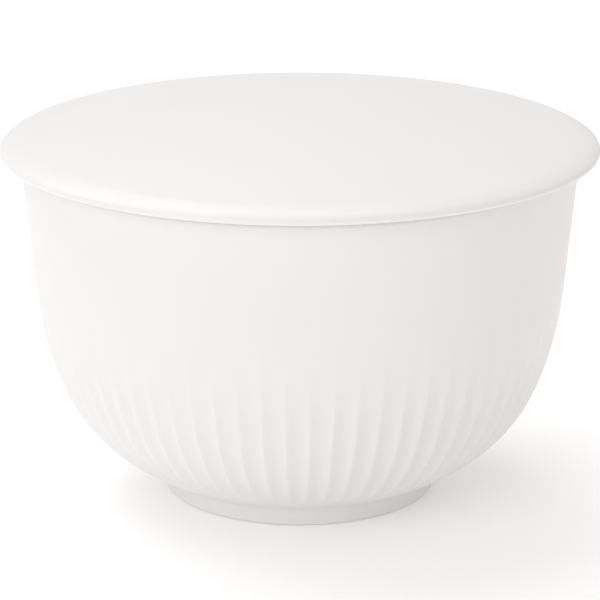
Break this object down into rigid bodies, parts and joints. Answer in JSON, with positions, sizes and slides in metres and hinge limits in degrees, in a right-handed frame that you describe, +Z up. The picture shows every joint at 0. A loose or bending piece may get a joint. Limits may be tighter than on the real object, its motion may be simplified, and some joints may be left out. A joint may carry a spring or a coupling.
{
  "type": "shaving bowl",
  "caption": "Round fluted porcelain shaving bowl on a low foot ring, with a loose domed lid that overhangs the mouth and a round of hard soap inside.",
  "frame": {"origin": "centre of the foot ring, on the surface the bowl stands on", "axes": "+Z up along the bowl's axis, -Y front, with one flute centred on the front"},
  "size_m": [0.12, 0.12, 0.0774],
  "materials": {
    "porcelain": "satin white glaze",
    "shaving_soap": "hard pressed ivory soap"
  },
  "bodies": {
    "bowl": {"bowl": "porcelain"},
    "lid": {"lid": "porcelain"},
    "soap": {"soap_puck": "shaving_soap"}
  },
  "joints": [
    {"name": "lid_lift", "type": "slide", "parent": "bowl", "child": "lid", "axis": [0, 0, 1], "range_m": [0, 0.1]},
    {"name": "soap_lift", "type": "slide", "parent": "bowl", "child": "soap", "axis": [0, 0, 1], "range_m": [0, 0.036]}
  ]
}
